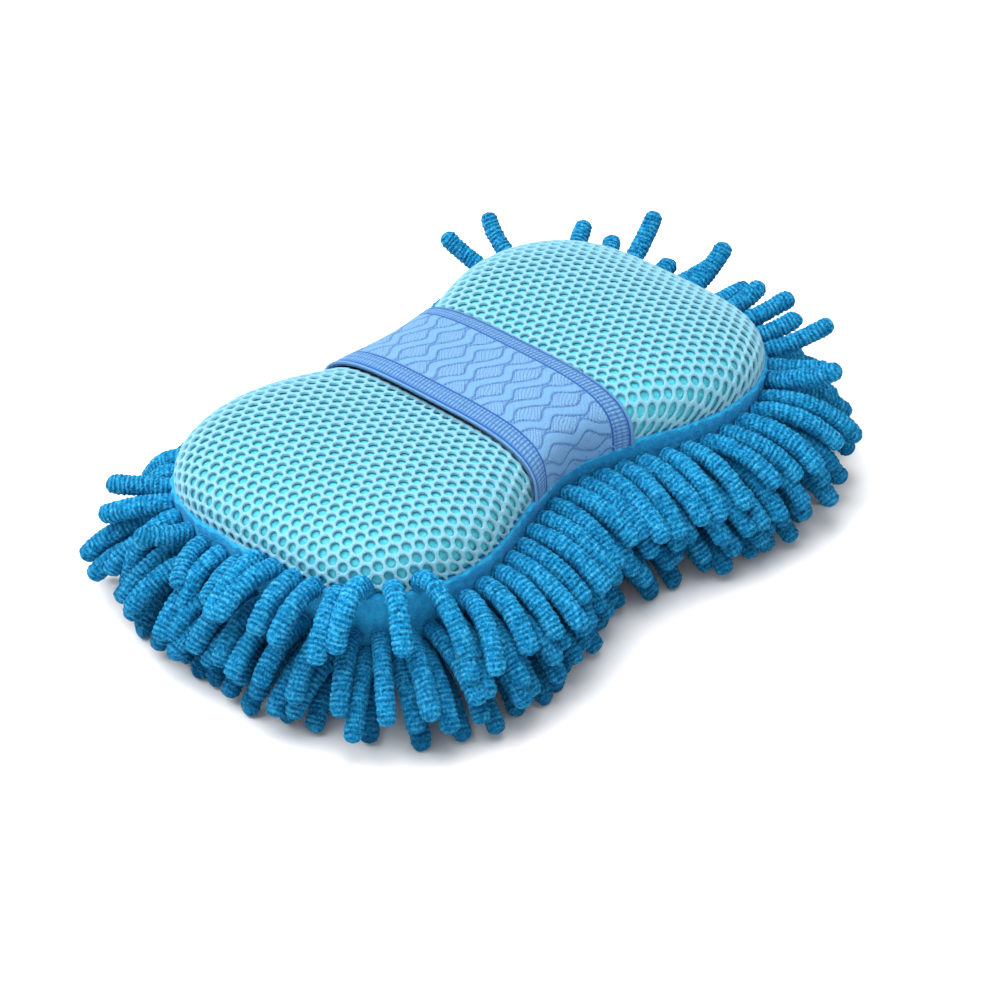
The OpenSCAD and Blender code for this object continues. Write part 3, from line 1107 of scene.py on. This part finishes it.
@dataclass
class NoodleRow:
    """One row of noodles, each along its own noodle of the frame."""

    name: str
    nodes: tuple[str, ...]
    lay: Lay
    maker: NoodleMaker
    rise: float = 3.0
    tip_lift: float = 2.0
    spread: float = 3.0
    root_drop: float = 0.0
    corner_spread: float = 1.6
    far_spread: float = 0.3
    back_spread: float = 0.6
    end_reach: float = 0.82
    end_rise: float = 4.6
    end_tuck: float = 2.4
    # Painted shade: a darkening for every noodle of the row, larger for the lower rows; each noodle also
    # adds a random tone of up to dim_range.
    painted_row_shade: float = 0.0
    dim_range: float = 0.3
    longest: float = 1.06
    steps: int = 33
    seed: int = 1

    def stance(self, root: Root, rng: random.Random) -> Stance:
        """Choose how a noodle holds itself, by the side of the pad that it is on."""
        heading = math.degrees(root.bearing)
        chance = rng.random()
        behind = BACK_HEADINGS[0] < heading < BACK_HEADINGS[1] and root.start.x < FAR_END
        if behind or self.lay is not Lay.FOUNTAIN:
            return Stance.HANG if behind else Stance.LOLL
        if abs(heading - CORNER_HEADING) < CORNER_WIDTH and root.start.x < 0:
            return Stance.CURL
        if root.start.x > FAR_END and FAR_HEADINGS[0] < heading < FAR_HEADINGS[1]:
            return Stance.STAND if chance < 0.94 else Stance.HANG
        if heading > BACK_HEADINGS[1] and root.start.x < 0:
            return Stance.SHORT if chance < 0.75 else Stance.HANG
        return Stance.LOLL

    def bow(self, root: Root, rng: random.Random) -> tuple[Vector, Vector, Vector, Vector]:
        """Give the four control points of one noodle's curve.

        Args:
            root: The frame's noodle.
            rng: The row's random numbers.

        Returns:
            The points, from the root to the tip.
        """
        start = root.start.copy()
        fall = root.end - root.start
        flat = Vector((fall.x, fall.y, 0)).normalized()
        across = Vector((-flat.y, flat.x, 0))
        reach = Vector((fall.x, fall.y, 0)).length * rng.uniform(0.87, 1.06)
        aside = rng.gauss(0, self.spread)

        def at(out: float, rise: float, swing: float = 0.0) -> Vector:
            """Place a point by its distance out, above and aside of the root."""
            return start + flat * out + UP * rise + across * swing

        if self.lay is Lay.SOLE:
            aside = rng.uniform(-1.2, 1.2)
            tip = root.end.z - start.z
            second = at(reach * 0.7, tip + 0.3, aside * 0.3)
            return start, at(reach * 0.35, fall.z * 0.55), second, at(reach, tip, aside)
        stance = self.stance(root, rng)
        heading = math.degrees(root.bearing)
        near_end = abs(heading) > NEAR_END_HEADING
        if near_end:
            reach *= self.end_reach
        if self.lay is Lay.FOUNTAIN and (stance is Stance.CURL or near_end and stance is Stance.LOLL):
            start += UP * self.end_rise - flat * self.end_tuck
        elif stance is Stance.LOLL:
            start.z -= self.root_drop
        rise = self.rise * rng.uniform(0.7, 1.3)
        drop = fall.z + self.tip_lift + rng.uniform(-1.4, 1.4)
        if stance is Stance.HANG:
            out = reach * rng.uniform(0.3, 0.62)
            end = at(out + 2, -rng.uniform(19, 26), aside * 1.1)
            second = at(out + 3, -rng.uniform(6, 11), aside * 0.5)
            return start, at(rng.uniform(7, 10), 1), second, end
        if stance is Stance.STAND:
            height = rng.uniform(1, 15) * (1.0 if root.bearing > 0 else 0.6)
            aside = rng.gauss(0, 3.0)
            spread = self.far_spread if heading < FAR_HEADING else self.back_spread
            flat = turned(flat, (heading - FAR_HEADING) * spread)
            end = at(reach * rng.uniform(0.7, 0.98), height, aside)
            return start, at(reach * 0.35, height * 0.25), at(reach * 0.65, height * 0.55, aside * 0.5), end
        if stance is Stance.CURL:
            flat = turned(flat, (heading - CORNER_HEADING) * self.corner_spread)
            height = rng.uniform(-12, -4) if rng.random() < 0.75 else 7.0
            end = at(reach * rng.uniform(0.7, 0.92), height)
            first = at(2, rng.uniform(6, 10))
            return start, first, at(reach * 0.5, rng.uniform(6, 10)), end
        if stance is Stance.SHORT:
            height = rng.uniform(-6, 4)
            second = at(reach * 0.6, height * 0.4 - 1, aside)
            return start, at(reach * 0.3, 1), second, at(reach * 0.72, height, aside * 1.6)
        first = at(reach * 0.4, rise, aside * rng.uniform(-0.1, 0.3))
        return start, first, at(reach * 0.78, drop * 0.55 + rise * 0.9, aside * 0.7), at(reach, drop, aside)

    def middle_line(self, root: Root, rng: random.Random) -> np.ndarray:
        """Draw the curve of one noodle.

        Args:
            root: The frame's noodle.
            rng: The row's random numbers.

        Returns:
            Evenly spaced points along it.
        """
        shares = np.linspace(0, 1, self.steps)[:, None]
        a, b, c, d = (np.array(p) for p in self.bow(root, rng))
        line = a * (1 - shares) ** 3 + 3 * b * shares * (1 - shares) ** 2
        line = line + 3 * c * shares**2 * (1 - shares) + d * shares**3
        runs = np.concatenate([[0], np.cumsum(np.linalg.norm(np.diff(line, axis=0), axis=1))])
        even = np.linspace(0, runs[-1], self.steps)
        line = np.stack([np.interp(even, runs, line[:, i]) for i in range(3)], axis=1)
        if self.lay is not Lay.SOLE:
            line[:, 2] = np.maximum(line[:, 2], self.maker.radius)
        return line

    def build(self) -> bpy.types.Object:
        """Make the row."""
        rng = random.Random(self.seed)
        roots = [root for node in self.nodes for root in noodles_of(node)]
        template, polar = self.maker.template((roots[0].end - roots[0].start).length * self.longest)
        bm = bmesh.new()
        for _ in roots:
            bm.from_mesh(template)
        mesh = freed(bm, self.name)
        bpy.data.meshes.remove(template)
        spots = []
        crests = []
        tones_and_row_shades = []
        for root in roots:
            line = self.middle_line(root, rng)
            length = float(np.linalg.norm(np.diff(line, axis=0), axis=1).sum())
            radius, crest = self.maker.girth(polar[:, 1], polar[:, 0], length, rng)
            points = self.maker.bend(line, polar[:, 0], polar[:, 1], radius)
            points[:, 2] = np.maximum(points[:, 2], FLOOR_GAP)
            spots.append(points)
            crests.append(crest)
            # The row's painted shade plus a random tone for this noodle.
            tones_and_row_shades.append(np.full(len(crest), self.painted_row_shade + self.dim_range * rng.random()))
        mesh.vertices.foreach_set("co", (np.concatenate(spots) * MM).ravel())
        mesh.polygons.foreach_set("use_smooth", np.ones(len(mesh.polygons), bool))
        mesh.update()
        row = linked(mesh)
        mark(row, "crest", np.concatenate(crests))
        mark(row, "shade", np.concatenate(tones_and_row_shades))
        return row


# ---- Studio -----------------------------------------------------------------------------------


@dataclass
class Studio:
    """A pale floor, soft light and the camera."""

    azimuth: float = -47.0
    elevation: float = 35.0
    distance: float = 1067.0
    aim: tuple[float, float, float] = (0.0, 0.0, 38.0)
    aim_right: float = 6.7
    aim_down: float = 23.0
    lens: float = 136.8
    sensor: float = 36.0
    floor_size: float = 3000.0
    floor_white: float = 0.96
    air_light: float = 0.48

    def build(self) -> None:
        """Make the floor, the lights and the camera."""
        self.floor()
        self.lights()
        self.camera()

    def floor(self) -> None:
        """Lay the floor."""
        bm = bmesh.new()
        bmesh.ops.create_grid(bm, x_segments=1, y_segments=1, size=self.floor_size)
        ground = finished(bm, "studio_floor", smooth=False)
        bench = NodeBench("studio_floor")
        paper = bench.dress(Base_Color=(self.floor_white,) * 3, Roughness=0.9, Specular_IOR_Level=0.1)
        ground.data.materials.append(paper)

    def lights(self) -> None:
        """Hang the lights."""
        world = bpy.data.worlds.new("studio_air")
        world.use_nodes = True
        air = world.node_tree.nodes["Background"]
        air.inputs["Color"].default_value = (1, 1, 1, 1)
        air.inputs["Strength"].default_value = self.air_light
        bpy.context.scene.world = world
        for name, spot, size, power in (
            ("key_softbox", (-0.25, 0.25, 1.1), 1.4, 29.0),
            ("front_softbox", (-0.9, -0.8, 0.8), 0.9, 2.0),
        ):
            data = bpy.data.lights.new(name, "AREA")
            data.shape = "SQUARE"
            data.size = size
            data.energy = power
            lamp = bpy.data.objects.new(name, data)
            lamp.location = spot
            lamp.rotation_euler = (-Vector(spot)).to_track_quat("-Z", "Y").to_euler()
            bpy.context.scene.collection.objects.link(lamp)
        bpy.context.scene.view_settings.view_transform = "Standard"

    def camera(self) -> None:
        """Set up the camera."""
        turn = math.radians(self.azimuth)
        tilt = math.radians(self.elevation)
        back = Vector((math.sin(turn) * math.cos(tilt), -math.cos(turn) * math.cos(tilt), math.sin(tilt)))
        right = Vector((math.cos(turn), math.sin(turn), 0))
        up = back.cross(right)
        data = bpy.data.cameras.new("studio_camera")
        data.lens = self.lens
        data.sensor_width = self.sensor
        camera = bpy.data.objects.new("studio_camera", data)
        spot = Vector(self.aim) + back * self.distance + right * self.aim_right - up * self.aim_down
        basis = Matrix((right, up, back)).transposed().to_4x4()
        camera.matrix_world = Matrix.Translation(spot * MM) @ basis
        bpy.context.scene.collection.objects.link(camera)
        bpy.context.scene.camera = camera


# ---- Assembly ---------------------------------------------------------------------------------


@dataclass
class WashPad:
    """The whole pad, put together from its parts."""

    shape: PadShape = field(default_factory=PadShape)

    def dress_cover(self) -> None:
        """Make the foam, the lining, the net and the cloth."""
        drape = Drape(self.shape)
        foam = FoamBlock(self.shape).build()
        self.fit(foam, "pad", "foam", FoamFinish().build(), "foam_core")
        lining = Lining(self.shape).build()
        knit = KnitFinish("lining_knit", tint(94, 206, 222), tint(66, 176, 196), 900.0)
        self.fit(lining, "pad", "backing_knit", knit.build(), "mesh_backing")
        net = NetTop(self.shape).build(drape)
        self.fit(net, "pad", "mesh", NetFinish().build(), "mesh_cover")
        cloth = BaseCloth(self.shape).build()
        brushed = KnitFinish("brushed_cloth", tint(46, 170, 222), tint(26, 144, 202), 1200.0)
        self.fit(cloth, "pad", "cloth", brushed.build(), "base_cloth")
        thread = ThreadFinish().build()
        for node in ("seam_stitches", "strap_stitches_near", "strap_stitches_far"):
            dress_node(node, thread)

    def dress_strap(self) -> None:
        """Make the strap, which stretches from the seam up to its free span."""
        maker = HandStrap(self.shape)
        strap = maker.build()
        strap.data.materials.append(WebbingFinish().build())
        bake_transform(strap)
        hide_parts("strap_band", "strap_end_near", "strap_end_far")
        cut = (maker.width * MM, maker.flat_length * MM)
        LOG.info("made %s", strap.name)

    def dress_noodles(self) -> None:
        """Make the rows of noodles."""
        pile = ChenilleFinish().build()
        side = NoodleMaker()
        low = NoodleMaker(around=8, rings_per_rib=1.6)
        # The lower rows carry more painted shade.
        rows = (
            NoodleRow(
                "noodles_top", ("noodle_row_1",), Lay.FOUNTAIN, side,
                rise=3.2, tip_lift=6.0, spread=2.8, root_drop=2.0, seed=11,
            ),
            NoodleRow(
                "noodles_second", ("noodle_row_2",), Lay.SKIRT, side,
                rise=3.0, tip_lift=3.5, spread=2.5, root_drop=1.0, painted_row_shade=0.35, seed=12,
            ),
            NoodleRow(
                "noodles_third", ("noodle_row_3", "guard_tufts"), Lay.SKIRT, side,
                rise=3.0, tip_lift=2.0, spread=2.4, painted_row_shade=0.6, seed=13,
            ),
            NoodleRow(
                "noodles_low", ("noodle_row_4",), Lay.SKIRT, side,
                rise=2.5, tip_lift=0.4, spread=2.0, painted_row_shade=0.85, seed=14,
            ),
            NoodleRow("noodles_sole", SOLE_NODES, Lay.SOLE, low, painted_row_shade=0.85, seed=15),
        )
        for maker in rows:
            self.fit(maker.build(), "pad", "chenille", pile, *maker.nodes)

    def fit(
        self, piece: bpy.types.Object, body: str, slot: str, material: bpy.types.Material, *nodes: str
    ) -> None:
        """Put a finished piece on its body.

        Args:
            piece: The piece.
            body: The body that it rides on.
            slot: Not used.
            material: Its material.
            nodes: The frame's nodes that it stands for.
        """
        piece.data.materials.clear()
        piece.data.materials.append(material)
        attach(piece, body)
        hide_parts(*nodes)
        LOG.info("made %s with %d faces", piece.name, len(piece.data.polygons))


def dress_node(node: str, material: bpy.types.Material) -> None:
    """Give a node of the frame its material."""
    piece = bpy.data.objects[node]
    for slot in piece.material_slots:
        slot.material = material


def main() -> None:
    """Dress the frame and set up the studio."""
    logging.basicConfig(level=logging.INFO, format="%(name)s: %(message)s")
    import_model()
    pad = WashPad()
    pad.dress_cover()
    pad.dress_strap()
    pad.dress_noodles()
    Studio().build()


if __name__ == "__main__":
    main()
